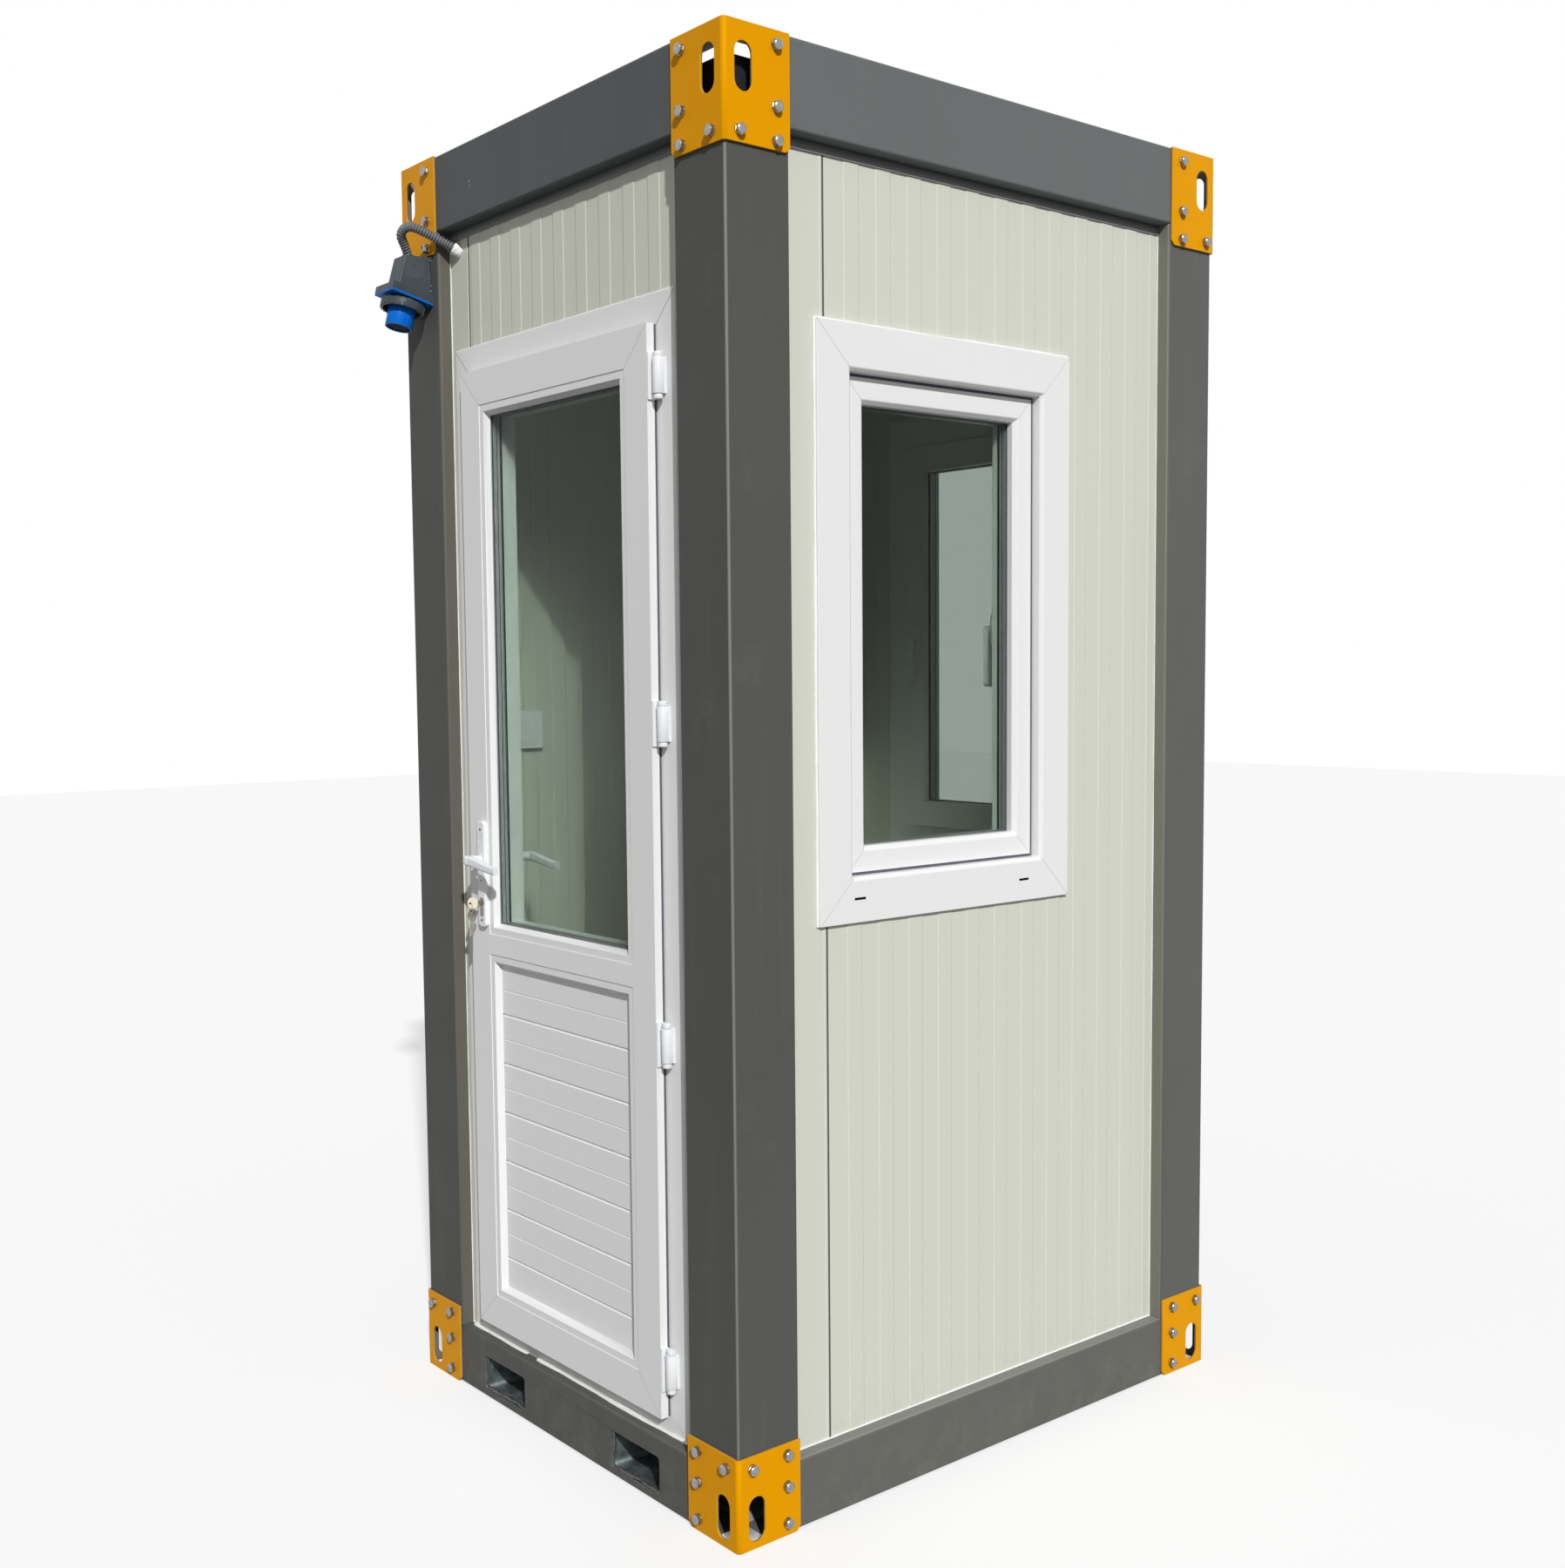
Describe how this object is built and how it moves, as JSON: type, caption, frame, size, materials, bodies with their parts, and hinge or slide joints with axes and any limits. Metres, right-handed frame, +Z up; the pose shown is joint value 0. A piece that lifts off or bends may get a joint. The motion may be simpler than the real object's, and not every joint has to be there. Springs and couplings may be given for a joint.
{
  "type": "portable cabin",
  "caption": "Small steel-framed portable cabin with slotted corner brackets, insulated panels, a half-glazed hinged door, tilt windows, fork pockets and a power inlet.",
  "frame": {"origin": "centre of the footprint between the corner brackets, on the ground", "axes": "+Z up, -Y the front with the door, +X the side with the window"},
  "size_m": [1.06, 1.3632, 2.5],
  "materials": {
    "frame_paint": "dark grey satin paint, chipped at edges",
    "bracket_paint": "yellow gloss paint",
    "galvanised": "galvanised, dull",
    "panel": "off-white coil-coated sheet",
    "floor_sheet": "dark matt sheet",
    "roof_sheet": "coil-coated sheet",
    "pvc": "white window profile",
    "glass": "clear double glazing",
    "handle_white": "white lacquer",
    "lock_metal": "nickel",
    "inlet_grey": "grey plastic",
    "inlet_blue": "blue plastic",
    "conduit_grey": "corrugated plastic"
  },
  "bodies": {
    "cabin": {"post_front_left": "frame_paint", "post_front_right": "frame_paint", "post_back_left": "frame_paint", "post_back_right": "frame_paint", "top_beam_front": "frame_paint", "top_beam_back": "frame_paint", "top_beam_left": "frame_paint", "top_beam_right": "frame_paint", "base_beam_front": "frame_paint", "base_beam_back": "frame_paint", "base_beam_left": "frame_paint", "base_beam_right": "frame_paint", "top_brackets": "bracket_paint", "base_brackets": "bracket_paint", "fork_pockets": "galvanised", "floor": "floor_sheet", "roof_panel": "roof_sheet", "front_wall_left": "panel", "front_wall_right": "panel", "front_wall_top": "panel", "back_wall": "panel", "left_wall": "panel", "right_wall": "panel", "side_window_frame": "pvc", "side_window_sash": "pvc", "side_window_glass": "glass", "back_window_frame": "pvc", "back_window_sash": "pvc", "back_window_glass": "glass", "window_handles": "handle_white", "door_jamb_lock_side": "pvc", "door_head": "pvc", "door_jamb_hinge_side": "pvc", "door_threshold": "pvc", "frame_hinges": "handle_white", "inlet_housing": "inlet_grey", "inlet_gasket": "inlet_blue", "inlet_collar": "inlet_grey", "inlet_shroud": "inlet_blue", "conduit": "conduit_grey", "light_switch": "handle_white"},
    "door": {"door_leaf": "pvc", "door_glass": "glass", "door_panel": "pvc", "leaf_hinges": "handle_white", "handle_plates": "handle_white", "lock_cylinder": "lock_metal"},
    "lever": {"outside_lever": "handle_white", "inside_lever": "handle_white"}
  },
  "joints": [
    {"name": "door_swing", "type": "hinge", "parent": "cabin", "child": "door", "pos_m": [0.32, -0.617, 1.1], "axis": [0, 0, 1], "range_deg": [0, 100]},
    {"name": "lever_turn", "type": "hinge", "parent": "door", "child": "lever", "pos_m": [-0.267, -0.56, 1.108], "axis": [0, 1, 0], "range_deg": [0, 40], "stiffness_Nm_per_rad": 1.2, "springref_deg": -34.38}
  ]
}
